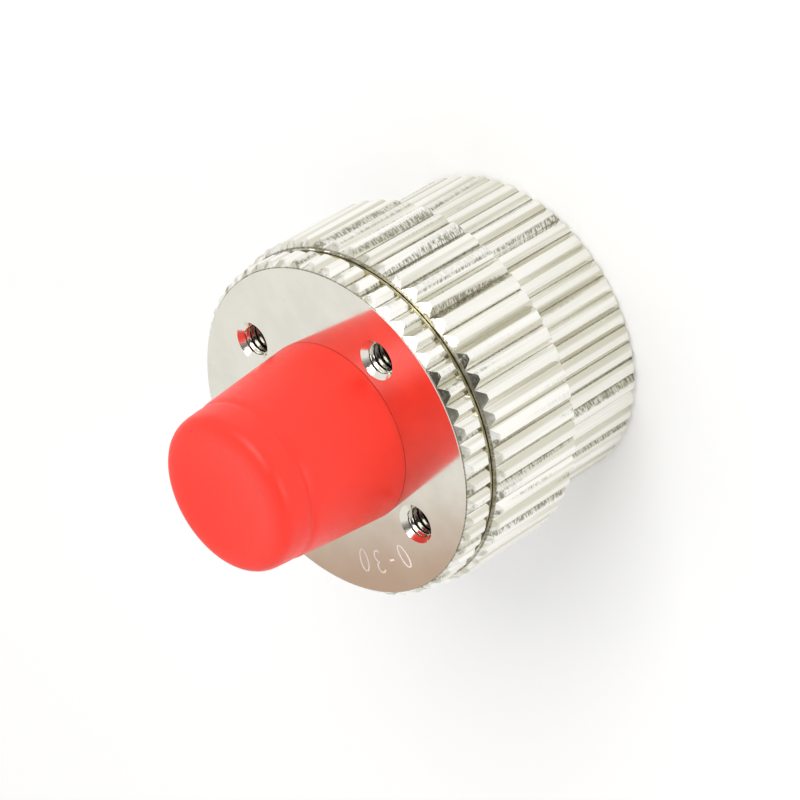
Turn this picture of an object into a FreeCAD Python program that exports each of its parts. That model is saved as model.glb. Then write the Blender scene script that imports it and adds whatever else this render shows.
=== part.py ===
import FreeCAD, Part
import os
import re

import Sketcher

# Variable optical attenuator: two fibre ports in line, a knurled adjusting ring that parts them
# Millimetres, +Z along the fibre axis, origin at the centre of the rear rim that it stands on

# Driving sizes, kept in the sheet
SIZES = {
    # Sleeve for the ferrules, and the thin tubes that carry it
    "sleeve_bore_radius": 1.25,
    "sleeve_wall": 0.35,
    "sleeve_length": 11.4,
    "sleeve_slit": 0.4,
    "holder_wall": 0.6,
    "holder_flange_width": 1.2,
    "holder_lip": 0.3,
    "holder_lip_reach": 0.15,
    # Threaded fibre ports with their key slots, and the rings that lock them
    "port_thread_radius": 4.0,
    "port_thread_chamfer": 0.4,
    "port_relief_depth": 0.2,
    "port_relief_length": 0.7,
    "port_wall": 1.1,
    "port_web": 0.6,
    "port_flange_width": 1.0,
    "port_flange_thickness": 0.8,
    "front_port_reach": 7.0,
    "rear_port_reach": 4.5,
    "key_width": 2.1,
    "key_depth": 3.5,
    "lock_ring_thickness": 0.5,
    "lock_ring_room": 0.2,
    "lock_notch_width": 0.8,
    "lock_notch_depth": 0.7,
    # Rear housing: recess, neck about the port, and spigot for the ring
    "nut_room": 1.5,
    "neck_wall": 1.4,
    "neck_lip": 0.5,
    "mouth_step": 1.5,
    "mouth_depth": 1.45,
    "web_thickness": 1.2,
    "spigot_wall": 0.6,
    "spigot_length": 2.1,
    # Front flange: disc, threaded hub and the room about it
    "neck_clearance": 0.1,
    "hub_wall": 1.3,
    "shell_room": 0.3,
    "hub_foot": 0.3,
    "front_web": 1.4,
    "centre_room": 1.0,
    "groove_width": 0.2,
    "disc_thickness": 1.8,
    "disc_step": 0.4,
    "disc_front_chamfer": 0.4,
    # Threaded fixing holes in the front face
    "screw_hole_count": 4,
    "screw_circle_step": 3.1,
    "screw_hole_radius": 0.8,
    "screw_hole_depth": 2.1,
    "countersink_width": 0.4,
    # Adjusting ring, its travel and what holds it
    "ring_length": 6.55,
    "ring_wall": 1.2,
    "ring_front_chamfer": 0.45,
    "travel": 3.2,
    "slip_washer_thickness": 0.15,
    "slip_washer_inset": 0.05,
    "wire_radius": 0.24,
    "wire_play": 0.01,
    "wire_side_room": 0.06,
    "wire_inset": 0.65,
    "wire_gap_angle": 24,
    "seal_radius": 0.17,
    "seal_rise": 0.02,
    "seal_side_room": 0.06,
    "seal_height": 0.5,
    "stop_ring_thickness": 0.35,
    "stop_ring_reach": 0.2,
    "stop_seat": 0.3,
    "stop_gap_angle": 20,
    # Knurling
    "tooth_count": 56,
    "knurl_angle": 100,
    "rear_knurl_depth": 0.35,
    "rear_knurl_step": 0.05,
    "ring_knurl_depth": 0.4,
    "disc_knurl_depth": 0.38,
    "rear_rim_chamfer": 0.3,
    "edge_break": 0.2,
    # Guide pins between the flange and the neck
    "pin_count": 3,
    "pin_start_angle": 45,
    "pin_radius": 0.35,
    "pin_press_depth": 1.4,
    "pin_hold": 0.8,
    "pin_clearance": 0.04,
    "pin_end_room": 0.2,
    # Spring that keeps the play out of the thread
    "spring_wire_radius": 0.2,
    "spring_turns": 3,
    "spring_room": 2.45,
    # Fits and rests
    "thread_clearance": 0.05,
    "spigot_clearance": 0.05,
    "turning_clearance": 0.05,
    "closing_clearance": 0.1,
    "seat_clearance": 0.05,
    "gap_washer_clearance": 0.05,
    "gap_washer_inset": 0.2,
    # Dust cap over the front port
    "cap_clearance": 0.05,
    "cap_wall": 0.95,
    "cap_base_flare": 0.57,
    "cap_head_taper": 0.22,
    "cap_end_room": 0.3,
    "cap_end_thickness": 1.5,
    "cap_head_length": 2.1,
    "cap_step_width": 0.3,
    "cap_step_depth": 0.14,
    "cap_edge_radius": 0.9,
    "cap_rim_width": 1.1,
    "cap_dish_depth": 0.25,
}

# Sizes that follow from them, from the ferrule's bore out to the knurled tips
FOLLOWING = {
    "sleeve_radius": "sleeve_bore_radius + sleeve_wall",
    "holder_radius": "sleeve_radius + holder_wall",
    "holder_flange_radius": "holder_radius + holder_flange_width",
    "holder_lip_bore": "sleeve_radius - holder_lip_reach",
    "lock_ring_bore": "holder_radius + lock_ring_room",
    "port_bore_radius": "port_thread_radius - port_wall",
    "port_relief_radius": "port_thread_radius - port_relief_depth",
    "port_flange_radius": "port_thread_radius + port_flange_width",
    "neck_bore_radius": "port_thread_radius + nut_room",
    "neck_radius": "neck_bore_radius + neck_wall",
    "pin_circle_radius": "(neck_bore_radius + neck_radius) / 2",
    "mouth_radius": "neck_bore_radius + mouth_step",
    "skirt_bore_radius": "neck_radius + neck_clearance",
    "hub_radius": "skirt_bore_radius + hub_wall",
    "stop_ring_radius": "hub_radius + stop_ring_reach",
    "shell_bore_radius": "hub_radius + shell_room",
    "spring_radius": "(neck_radius + shell_bore_radius) / 2",
    "spigot_radius": "shell_bore_radius + spigot_wall",
    "wire_seat": "wire_radius + wire_play",
    "wire_room": "wire_radius + wire_side_room",
    "seal_seat_depth": "2 * seal_radius - seal_rise",
    "seal_seat_width": "2 * seal_radius + seal_side_room",
    "rear_tip_radius": "spigot_radius + rear_knurl_step + rear_knurl_depth",
    "ring_tip_radius": "spigot_radius + ring_wall + ring_knurl_depth",
    "disc_tip_radius": "ring_tip_radius - disc_step",
    "screw_circle_radius": "port_thread_radius + screw_circle_step",
    "countersink_radius": "screw_hole_radius + countersink_width",
    "cap_length": "front_port_reach + cap_end_room + cap_end_thickness",
    "cap_waist_radius": "port_thread_radius + cap_wall",
    "cap_base_radius": "cap_waist_radius + cap_base_flare",
    "cap_tip_radius": "cap_waist_radius - cap_head_taper",
    "cap_dish_radius": "cap_tip_radius - cap_rim_width",
}

# Heights along the fibre axis, worked out from the sheet
Z = {}
Z["web_top"] = "(mouth_depth + web_thickness)"
Z["hub"] = f"({Z['web_top']} + spring_room)"
Z["stop"] = f"({Z['hub']} + hub_foot)"
Z["stop_top"] = f"({Z['stop']} + stop_ring_thickness)"
Z["thread"] = f"({Z['stop_top']} + turning_clearance + travel)"
Z["spigot_top"] = f"({Z['thread']} - turning_clearance - slip_washer_thickness)"
Z["wire"] = f"({Z['spigot_top']} - wire_inset)"
Z["ring"] = f"({Z['spigot_top']} - spigot_length)"
Z["seal"] = f"({Z['ring']} + seal_height)"
Z["ring_top"] = f"({Z['ring']} + ring_length)"
Z["disc"] = f"({Z['ring_top']} + groove_width)"
Z["face"] = f"({Z['disc']} + disc_thickness)"
Z["front_tip"] = f"({Z['face']} + front_port_reach)"
Z["front_seat"] = f"({Z['face']} - front_web)"
Z["front_lock"] = f"({Z['front_seat']} - port_flange_thickness - lock_ring_thickness)"
Z["neck_top"] = f"({Z['front_lock']} - centre_room)"
Z["rear_lock"] = f"({Z['neck_top']} - lock_ring_thickness)"
Z["rear_seat"] = f"({Z['rear_lock']} - port_flange_thickness)"
Z["neck_lip"] = f"({Z['rear_seat']} - neck_lip)"
Z["rear_tip"] = f"({Z['neck_lip']} - rear_port_reach)"
Z["sleeve"] = f"(({Z['front_tip']} + {Z['rear_tip']} - sleeve_length) / 2)"
Z["sleeve_top"] = f"({Z['sleeve']} + sleeve_length)"
Z["plug"] = f"({Z['neck_top']} + closing_clearance)"
Z["pin_top"] = f"({Z['plug']} + pin_press_depth)"
Z["pin"] = f"({Z['neck_top']} - pin_hold - travel)"

doc = FreeCAD.newDocument("attenuator")
NODES = []


def spelled_out(text):
    """The expression text with each following size written out in driving sizes."""
    return re.sub(r"[a-z_]+", lambda found: in_driving_sizes(found[0]), text)


def in_driving_sizes(name):
    return f"({spelled_out(FOLLOWING[name])})" if name in FOLLOWING else name


def bound(text):
    """The expression text with each size's name pointed at the sheet."""
    return re.sub(r"[a-z_]+", lambda found: f"Sizes.{found[0]}" if found[0] in SIZES else found[0],
                  spelled_out(text))


def fill_sheet():
    sheet = doc.addObject("Spreadsheet::Sheet", "Sizes")
    for row, (alias, value) in enumerate(SIZES.items(), start=1):
        sheet.set(f"A{row}", alias)
        sheet.set(f"B{row}", str(value))
        sheet.setAlias(f"B{row}", alias)
    doc.recompute()


def bind(thing, **values):
    """Sets each property of thing to its expression."""
    for name, text in values.items():
        thing.setExpression(name, bound(text))


def add_body(name, height="0"):
    """An empty body labelled as its node, with its own zero at this height on the axis."""
    body = doc.addObject("PartDesign::Body", name)
    body.Label = name
    body.setExpression("Placement.Base.z", bound(height))
    NODES.append(body)
    return body


def add_sketch(body, name, plane):
    sketch = body.newObject("Sketcher::SketchObject", name)
    origin = body.Origin.OriginFeatures
    sketch.AttachmentSupport = [(next(item for item in origin if item.Role == plane), "")]
    sketch.MapMode = "FlatFace"
    return sketch


def value_of(text):
    """The number that an expression gives now, so that a sketch starts at its answer."""
    return float(doc.Sizes.evalExpression(spelled_out(text)))


def pin_point(sketch, edge, corner):
    """Dimensions the start of an edge from the sketch's axes, by two expressions."""
    for kind, text in zip(("DistanceX", "DistanceY"), corner):
        if text == "0":
            axis = -2 if kind == "DistanceX" else -1
            sketch.addConstraint(Sketcher.Constraint("PointOnObject", edge, 1, axis))
            continue
        value = value_of(text)
        index = sketch.addConstraint(Sketcher.Constraint(kind, -1, 1, edge, 1, value))
        sketch.setExpression(f"Constraints[{index}]", bound(text))


def draw_outline(sketch, corners):
    """A closed outline of straight edges, each corner given as two expressions."""
    points = [FreeCAD.Vector(value_of(x), value_of(y), 0) for x, y in corners]
    count = len(points)
    edges = [Part.LineSegment(points[i], points[(i + 1) % count]) for i in range(count)]
    first = sketch.addGeometry(edges, False)[0]
    for i in range(count):
        sketch.addConstraint(Sketcher.Constraint("Coincident", first + i, 2, first + (i + 1) % count, 1))
    for i, corner in enumerate(corners):
        pin_point(sketch, first + i, corner)


def draw_circle(sketch, centre, radius):
    """A circle, its centre given as two expressions and its radius as one."""
    point = FreeCAD.Vector(value_of(centre[0]), value_of(centre[1]), 0)
    edge = sketch.addGeometry(Part.Circle(point, FreeCAD.Vector(0, 0, 1), value_of(radius)), False)
    for kind, text in zip(("DistanceX", "DistanceY"), centre):
        if text == "0":
            axis = -2 if kind == "DistanceX" else -1
            sketch.addConstraint(Sketcher.Constraint("PointOnObject", edge, 3, axis))
            continue
        index = sketch.addConstraint(Sketcher.Constraint(kind, -1, 1, edge, 3, value_of(text)))
        sketch.setExpression(f"Constraints[{index}]", bound(text))
    index = sketch.addConstraint(Sketcher.Constraint("Radius", edge, value_of(radius)))
    sketch.setExpression(f"Constraints[{index}]", bound(radius))


def turn(body, corners, gap_angle="0"):
    """A solid turned about the body's Z axis from an outline of (radius, height) corners."""
    sketch = add_sketch(body, "section", "XZ_Plane")
    draw_outline(sketch, corners)
    return revolve(body, sketch, gap_angle)


def revolve(body, sketch, gap_angle="0"):
    turned = body.newObject("PartDesign::Revolution", "turned")
    turned.Profile = sketch
    turned.ReferenceAxis = (sketch, ["V_Axis"])
    bind(turned, Angle=f"360 - {gap_angle}")
    return turned


def cut_pocket(body, sketch, depth, upward=True):
    """A pocket from the sketch, depth deep, that runs up the body's Z axis or down it."""
    pocket = body.newObject("PartDesign::Pocket", "cut")
    pocket.Profile = sketch
    pocket.Type = "Length"
    bind(pocket, Length=depth)
    pocket.Reversed = upward
    return pocket


def repeat_round(body, feature, sketch, count):
    """The feature repeated evenly about the body's Z axis."""
    pattern = body.newObject("PartDesign::PolarPattern", "ring_of_cuts")
    pattern.Originals = [feature]
    pattern.Axis = (sketch, ["N_Axis"])
    pattern.Angle = 360
    bind(pattern, Occurrences=count)
    body.Tip = pattern
    return pattern


def knurl(body, tip_radius, depth, length, start="0", turned="0"):
    """Straight knurling: one V cut along the outside, repeated once for each tooth."""
    sketch = add_sketch(body, "knurl_section", "XY_Plane")
    bind(sketch, **{"AttachmentOffset.Base.z": start, "AttachmentOffset.Rotation.Angle": turned})
    root = f"({tip_radius} - {depth})"
    mouth = f"({tip_radius} + {depth})"
    half_width = f"2 * {depth} * tan(knurl_angle / 2)"
    draw_outline(sketch, [(root, "0"), (mouth, f"-{half_width}"), (mouth, half_width)])
    pocket = cut_pocket(body, sketch, length)
    repeat_round(body, pocket, sketch, "tooth_count")


def build_rear_housing():
    """The knurled rear cylinder, its stepped recess, the neck inside and the spigot for the ring."""
    body = add_body("rear_housing")
    wire_low = f"({Z['wire']} - wire_seat)"
    wire_high = f"({Z['wire']} + wire_seat)"
    seal_low = f"({Z['seal']} - seal_seat_width / 2)"
    seal_high = f"({Z['seal']} + seal_seat_width / 2)"
    seal_floor = "(spigot_radius - seal_seat_depth)"
    wire_floor = "(spigot_radius - wire_seat)"
    port_pocket = "(port_flange_radius + seat_clearance)"
    port_hole = "(port_thread_radius + seat_clearance)"
    shoulder = f"({Z['ring']} - turning_clearance)"
    turn(body, [
        ("mouth_radius", "0"),
        ("rear_tip_radius - rear_rim_chamfer", "0"),
        ("rear_tip_radius", "rear_rim_chamfer"),
        ("rear_tip_radius", f"{shoulder} - edge_break"),
        ("rear_tip_radius - edge_break", shoulder),
        ("spigot_radius", shoulder),
        ("spigot_radius", seal_low),
        (seal_floor, seal_low),
        (seal_floor, seal_high),
        ("spigot_radius", seal_high),
        ("spigot_radius", wire_low),
        (wire_floor, wire_low),
        (wire_floor, wire_high),
        ("spigot_radius", wire_high),
        ("spigot_radius", Z["spigot_top"]),
        ("shell_bore_radius", Z["spigot_top"]),
        ("shell_bore_radius", Z["web_top"]),
        ("neck_radius", Z["web_top"]),
        ("neck_radius", Z["neck_top"]),
        (port_pocket, Z["neck_top"]),
        (port_pocket, Z["rear_seat"]),
        (port_hole, Z["rear_seat"]),
        (port_hole, Z["neck_lip"]),
        ("neck_bore_radius", Z["neck_lip"]),
        ("neck_bore_radius", "mouth_depth + edge_break"),
        ("neck_bore_radius + edge_break", "mouth_depth"),
        ("mouth_radius", "mouth_depth"),
    ])
    knurl(body, "rear_tip_radius", "rear_knurl_depth", shoulder)
    bore_pin_holes(body, Z["neck_top"], f"{Z['neck_top']} - {Z['pin']} + pin_end_room",
                   "pin_radius + pin_clearance", upward=False)


def bore_pin_holes(body, start, depth, radius, upward):
    sketch = add_sketch(body, "pin_hole", "XY_Plane")
    bind(sketch, **{"AttachmentOffset.Base.z": start, "AttachmentOffset.Rotation.Angle": "pin_start_angle"})
    draw_circle(sketch, ("pin_circle_radius", "0"), radius)
    pocket = cut_pocket(body, sketch, depth, upward)
    repeat_round(body, pocket, sketch, "pin_count")


def build_adjusting_ring():
    """The knurled ring that turns on the spigot and lifts the front flange by its inner thread."""
    body = add_body("adjusting_ring", Z["ring"])
    bore = "(hub_radius + thread_clearance)"
    counterbore = "(spigot_radius + spigot_clearance)"
    thread = f"({Z['thread']} - {Z['ring']})"
    wire_low = f"({Z['wire']} - {Z['ring']} - wire_room)"
    wire_high = f"({Z['wire']} - {Z['ring']} + wire_room)"
    wire_floor = f"({counterbore} + wire_room)"
    turn(body, [
        (counterbore, "0"),
        ("ring_tip_radius - edge_break", "0"),
        ("ring_tip_radius", "edge_break"),
        ("ring_tip_radius", "ring_length - ring_front_chamfer"),
        ("ring_tip_radius - ring_front_chamfer", "ring_length"),
        (f"{bore} + edge_break", "ring_length"),
        (bore, "ring_length - edge_break"),
        (bore, thread),
        (counterbore, thread),
        (counterbore, wire_high),
        (wire_floor, wire_high),
        (wire_floor, wire_low),
        (counterbore, wire_low),
    ])
    knurl(body, "ring_tip_radius", "ring_knurl_depth", "ring_length", turned="180 / tooth_count")


def build_front_flange():
    """The front disc with its threaded holes, and the threaded hub that runs down inside the ring."""
    body = add_body("front_flange", Z["hub"])
    disc, face, plug, seat, stop, stop_top = (
        f"({Z[name]} - {Z['hub']})" for name in ("disc", "face", "plug", "front_seat", "stop", "stop_top"))
    port_pocket = "(port_flange_radius + seat_clearance)"
    port_hole = "(port_thread_radius + seat_clearance)"
    stop_floor = "(hub_radius - stop_seat)"
    turn(body, [
        ("skirt_bore_radius", "0"),
        ("hub_radius", "0"),
        ("hub_radius", stop),
        (stop_floor, stop),
        (stop_floor, f"{stop_top} + turning_clearance / 2"),
        ("hub_radius", f"{stop_top} + turning_clearance / 2"),
        ("hub_radius", disc),
        ("disc_tip_radius - edge_break", disc),
        ("disc_tip_radius", f"{disc} + edge_break"),
        ("disc_tip_radius", f"{face} - disc_front_chamfer"),
        ("disc_tip_radius - disc_front_chamfer", face),
        (port_hole, face),
        (port_hole, seat),
        (port_pocket, seat),
        (port_pocket, plug),
        ("skirt_bore_radius", plug),
    ])
    knurl(body, "disc_tip_radius", "disc_knurl_depth", "disc_thickness", disc, "180 / tooth_count")
    bore_screw_holes(body, face)
    bore_pin_holes(body, plug, "pin_press_depth", "pin_radius", upward=True)


def bore_screw_holes(body, face):
    """Tapped fixing holes, each with a wide countersink, evenly spaced about the port."""
    sketch = add_sketch(body, "screw_hole", "XZ_Plane")
    bind(sketch, **{"AttachmentOffset.Base.x": "screw_circle_radius", "AttachmentOffset.Base.y": face})
    draw_outline(sketch, [
        ("0", "0"),
        ("countersink_radius", "0"),
        ("screw_hole_radius", "-countersink_width"),
        ("screw_hole_radius", "-screw_hole_depth"),
        ("0", "-screw_hole_depth"),
    ])
    hole = body.newObject("PartDesign::Groove", "screw_hole_cut")
    hole.Profile = sketch
    hole.ReferenceAxis = (sketch, ["V_Axis"])
    hole.Angle = 360
    pattern = body.newObject("PartDesign::PolarPattern", "screw_holes")
    pattern.Originals = [hole]
    pattern.Axis = (next(item for item in body.Origin.OriginFeatures if item.Role == "Z_Axis"), [""])
    pattern.Angle = 360
    bind(pattern, Occurrences="screw_hole_count")
    body.Tip = pattern


def build_port(name, tip, seat, faces_front):
    """A threaded fibre port with its key slot. Its own zero is at the tip, and it runs inwards."""
    body = add_body(name, tip)
    if faces_front:
        body.Placement.Rotation = FreeCAD.Rotation(FreeCAD.Vector(1, 0, 0), 180)
    seat_depth = f"({tip} - {seat})" if faces_front else f"({seat} - {tip})"
    top = f"({seat_depth} + port_flange_thickness)"
    holder_seat = f"({seat_depth} + port_web / 3)"
    turn(body, [
        ("port_bore_radius", "0"),
        ("port_thread_radius - port_thread_chamfer", "0"),
        ("port_thread_radius", "port_thread_chamfer"),
        ("port_thread_radius", f"{seat_depth} - port_relief_length"),
        ("port_relief_radius", f"{seat_depth} - port_relief_length"),
        ("port_relief_radius", seat_depth),
        ("port_flange_radius", seat_depth),
        ("port_flange_radius", top),
        ("holder_flange_radius + seat_clearance", top),
        ("holder_flange_radius + seat_clearance", holder_seat),
        ("holder_radius + seat_clearance", holder_seat),
        ("holder_radius + seat_clearance", f"{holder_seat} - port_web"),
        ("port_bore_radius", f"{holder_seat} - port_web"),
    ])
    sketch = add_sketch(body, "key_section", "XY_Plane")
    outer = "port_thread_radius + key_width / 2"
    inner = "port_bore_radius - key_width / 4"
    draw_outline(sketch, [
        (inner, "-key_width / 2"), (outer, "-key_width / 2"), (outer, "key_width / 2"), (inner, "key_width / 2"),
    ])
    cut_pocket(body, sketch, "key_depth")


def build_sleeve_holder(name, end, seat, faces_front):
    """The thin tube that carries the sleeve inside a port. Its own zero is at its lip."""
    body = add_body(name, end)
    if faces_front:
        body.Placement.Rotation = FreeCAD.Rotation(FreeCAD.Vector(1, 0, 0), 180)
    seat_depth = f"({end} - {seat})" if faces_front else f"({seat} - {end})"
    top = f"({seat_depth} + port_flange_thickness)"
    under = f"({seat_depth} + port_web / 3)"
    bore = "(sleeve_radius + seat_clearance)"
    turn(body, [
        ("holder_lip_bore", "0"),
        ("holder_radius", "0"),
        ("holder_radius", under),
        ("holder_flange_radius", under),
        ("holder_flange_radius", top),
        (bore, top),
        (bore, "holder_lip"),
        ("holder_lip_bore", "holder_lip"),
    ])


def build_lock_ring(name, height):
    """The threaded ring that holds a port and its sleeve holder on their seat, with two wrench slots."""
    body = add_body(name, height)
    turn(body, [
        ("lock_ring_bore", "0"),
        ("port_flange_radius", "0"),
        ("port_flange_radius", "lock_ring_thickness"),
        ("lock_ring_bore", "lock_ring_thickness"),
    ])
    sketch = add_sketch(body, "slot_section", "XY_Plane")
    inner = "port_flange_radius - lock_notch_depth"
    outer = "port_flange_radius + lock_notch_depth"
    draw_outline(sketch, [
        (inner, "-lock_notch_width / 2"), (outer, "-lock_notch_width / 2"),
        (outer, "lock_notch_width / 2"), (inner, "lock_notch_width / 2"),
    ])
    pocket = cut_pocket(body, sketch, "lock_ring_thickness")
    repeat_round(body, pocket, sketch, "2")


def build_alignment_sleeve():
    """The split ceramic sleeve that lines the two ferrules up."""
    body = add_body("alignment_sleeve", Z["sleeve"])
    turn(body, [
        ("sleeve_bore_radius", "0"),
        ("sleeve_radius", "0"),
        ("sleeve_radius", "sleeve_length"),
        ("sleeve_bore_radius", "sleeve_length"),
    ])
    sketch = add_sketch(body, "slit_section", "XY_Plane")
    outer = "sleeve_radius + sleeve_slit"
    draw_outline(sketch, [
        ("sleeve_slit", "-sleeve_slit / 2"), (outer, "-sleeve_slit / 2"),
        (outer, "sleeve_slit / 2"), ("sleeve_slit", "sleeve_slit / 2"),
    ])
    cut_pocket(body, sketch, "sleeve_length")


def build_washer(name, height, inner, outer, thickness):
    body = add_body(name, height)
    turn(body, [(inner, "0"), (outer, "0"), (outer, thickness), (inner, thickness)])


def build_wire_ring(name, height, radius, wire, gap_angle="0"):
    """A ring of round section about the axis, split by the gap angle."""
    body = add_body(name, height)
    sketch = add_sketch(body, "section", "XZ_Plane")
    draw_circle(sketch, (radius, "0"), wire)
    revolve(body, sketch, gap_angle)


def build_stop_ring():
    """The split ring near the hub's foot that meets the ring's thread when the gap is fully open."""
    body = add_body("stop_ring", Z["stop"])
    inner = "hub_radius - stop_seat"
    turn(body, [
        (inner, "0"),
        ("stop_ring_radius", "0"),
        ("stop_ring_radius", "stop_ring_thickness"),
        (inner, "stop_ring_thickness"),
    ], "stop_gap_angle")


def build_spring():
    """The compression spring that pushes the flange away from the housing and takes up thread play."""
    body = add_body("backlash_spring", f"{Z['web_top']} + spring_wire_radius")
    sketch = add_sketch(body, "wire_section", "XZ_Plane")
    draw_circle(sketch, ("spring_radius", "0"), "spring_wire_radius")
    coil = body.newObject("PartDesign::AdditiveHelix", "coil")
    coil.Profile = sketch
    coil.ReferenceAxis = (sketch, ["V_Axis"])
    coil.Mode = "height-turns-angle"
    bind(coil, Height="spring_room - 2 * spring_wire_radius", Turns="spring_turns")


def build_guide_pins():
    """Pins pressed into the flange that slide in the neck, so that the flange can't turn."""
    pins = []
    for i in range(SIZES["pin_count"]):
        pin = doc.addObject("Part::Cylinder", f"pin_{i + 1}")
        turned = f"(pin_start_angle + {i} * 360 / pin_count)"
        bind(pin, Radius="pin_radius", Height=f"{Z['pin_top']} - {Z['pin']}")
        pin.setExpression("Placement.Base.x", bound(f"pin_circle_radius * cos({turned})"))
        pin.setExpression("Placement.Base.y", bound(f"pin_circle_radius * sin({turned})"))
        pin.setExpression("Placement.Base.z", bound(Z["pin"]))
        pins.append(pin)
    group = doc.addObject("Part::Compound", "guide_pins")
    group.Label = "guide_pins"
    group.Links = pins
    NODES.append(group)


def build_dust_cap():
    """The soft cap over the front port: a tapered cup with a stepped head and a dished end."""
    body = add_body("front_dust_cap", Z["face"])
    bore = "(port_thread_radius + cap_clearance)"
    step = "(cap_length - cap_head_length)"
    step_radius = "(cap_waist_radius - cap_step_depth)"
    roof = "(cap_length - cap_end_thickness)"
    turned = turn(body, [
        (bore, "0"),
        ("cap_base_radius - edge_break", "0"),
        ("cap_base_radius", "edge_break"),
        ("cap_waist_radius", f"{step} - cap_step_width"),
        (step_radius, step),
        (step_radius, f"{step} + cap_step_width / 2"),
        ("cap_tip_radius + cap_step_depth", f"{step} + cap_step_width"),
        ("cap_tip_radius", "cap_length"),
        ("0", "cap_length"),
        ("0", roof),
        (bore, roof),
    ])
    doc.recompute()
    rim = next(i for i, edge in enumerate(turned.Shape.Edges, start=1) if is_rim(edge))
    rounded = body.newObject("PartDesign::Fillet", "rounded_rim")
    rounded.Base = (turned, [f"Edge{rim}"])
    bind(rounded, Radius="cap_edge_radius")
    dish = body.newObject("PartDesign::SubtractiveSphere", "dish")
    origin = body.Origin.OriginFeatures
    dish.AttachmentSupport = [(next(item for item in origin if item.Role == "XY_Plane"), "")]
    dish.MapMode = "FlatFace"
    ball = "((cap_dish_radius ^ 2 + cap_dish_depth ^ 2) / (2 * cap_dish_depth))"
    bind(dish, Radius=ball)
    dish.setExpression("AttachmentOffset.Base.z", bound(f"cap_length + {ball} - cap_dish_depth"))


def is_rim(edge):
    """Whether an edge is the outer rim of the cap's end."""
    box = edge.BoundBox
    flat = box.ZMin > value_of("cap_length") - 1e-4
    return flat and abs(box.XMax - value_of("cap_tip_radius")) < 1e-3


def build_all():
    fill_sheet()
    build_dust_cap()
    build_rear_housing()
    build_adjusting_ring()
    build_front_flange()
    build_port("rear_port", Z["rear_tip"], Z["rear_seat"], faces_front=False)
    build_port("front_port", Z["front_tip"], Z["front_seat"], faces_front=True)
    build_sleeve_holder("rear_sleeve_holder", f"({Z['sleeve']} - holder_lip)", Z["rear_seat"], faces_front=False)
    build_sleeve_holder("front_sleeve_holder", f"({Z['sleeve_top']} + holder_lip)", Z["front_seat"],
                        faces_front=True)
    build_lock_ring("rear_lock_ring", Z["rear_lock"])
    build_lock_ring("front_lock_ring", Z["front_lock"])
    build_alignment_sleeve()
    build_washer("slip_washer", Z["spigot_top"], "shell_bore_radius + slip_washer_inset",
                 "spigot_radius - slip_washer_inset", "slip_washer_thickness")
    build_washer("gap_washer", f"{Z['ring_top']} + gap_washer_clearance", "hub_radius + thread_clearance",
                 "disc_tip_radius - gap_washer_inset", "groove_width - gap_washer_clearance")
    build_wire_ring("retaining_wire", Z["wire"], "spigot_radius - wire_seat + wire_radius", "wire_radius",
                    "wire_gap_angle")
    build_wire_ring("drag_ring", Z["seal"], "spigot_radius - seal_seat_depth + seal_radius", "seal_radius")
    build_stop_ring()
    build_spring()
    build_guide_pins()
    doc.recompute()


def check_all():
    """Stops with a plain message if any object failed or any node's shape isn't a sound solid."""
    for item in doc.Objects:
        if {"Invalid", "Error"} & set(item.State):
            raise RuntimeError(f"{item.Name} failed: {item.State}")
    for node in NODES:
        shape = node.Shape
        if shape.isNull() or not shape.isValid() or shape.Volume <= 0:
            raise RuntimeError(f"{node.Label} has no sound shape")


def write_all():
    os.makedirs("parts", exist_ok=True)
    for node in NODES:
        node.Shape.exportStep(f"parts/{node.Label}.step")


build_all()
check_all()
write_all()
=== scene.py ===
import math
import random

import bmesh
import bpy
from mathutils import Euler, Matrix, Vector


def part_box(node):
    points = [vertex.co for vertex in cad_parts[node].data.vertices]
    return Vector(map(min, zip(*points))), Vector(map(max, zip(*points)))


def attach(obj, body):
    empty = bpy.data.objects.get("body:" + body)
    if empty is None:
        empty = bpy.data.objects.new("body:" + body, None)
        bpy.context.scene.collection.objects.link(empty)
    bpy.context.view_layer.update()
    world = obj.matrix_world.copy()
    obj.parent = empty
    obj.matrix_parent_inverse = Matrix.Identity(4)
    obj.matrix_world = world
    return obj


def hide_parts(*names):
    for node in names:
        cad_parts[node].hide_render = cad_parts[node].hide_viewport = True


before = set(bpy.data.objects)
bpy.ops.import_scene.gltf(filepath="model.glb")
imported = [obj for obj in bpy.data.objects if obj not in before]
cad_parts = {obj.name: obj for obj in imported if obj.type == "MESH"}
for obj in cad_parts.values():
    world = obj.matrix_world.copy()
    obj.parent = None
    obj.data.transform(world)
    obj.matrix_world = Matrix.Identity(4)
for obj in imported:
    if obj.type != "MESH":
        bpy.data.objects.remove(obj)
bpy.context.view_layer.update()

# Variable optical attenuator, standing on its rear rim
# Lengths are in millimetres unless a comment says metres. The scene itself is in metres
MM = 0.001
random.seed(17)

# Gaps and steps along the fibre axis, between a piece of the frame and the face beside it
RING_GAP = 0.05
DISC_THICKNESS = 1.8
LOCK_RING_LIFT = 0.9
NECK_GAP = 0.1
WASHER_GAP = 0.05

# Heights read from the frame. PLUG is the flange's underside round its port, and NECK_TOP the top of the
# housing's neck below it
RING_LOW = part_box("adjusting_ring")[0].z / MM
RING_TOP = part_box("adjusting_ring")[1].z / MM
REAR_TOP = RING_LOW - RING_GAP
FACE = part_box("front_flange")[1].z / MM
DISC_LOW = FACE - DISC_THICKNESS
HUB_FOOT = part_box("front_flange")[0].z / MM
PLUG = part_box("front_lock_ring")[0].z / MM - LOCK_RING_LIFT
NECK_TOP = PLUG - NECK_GAP
THREAD_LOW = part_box("slip_washer")[1].z / MM + WASHER_GAP
CAP_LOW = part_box("front_dust_cap")[0].z / MM
CAP_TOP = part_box("front_dust_cap")[1].z / MM

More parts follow.
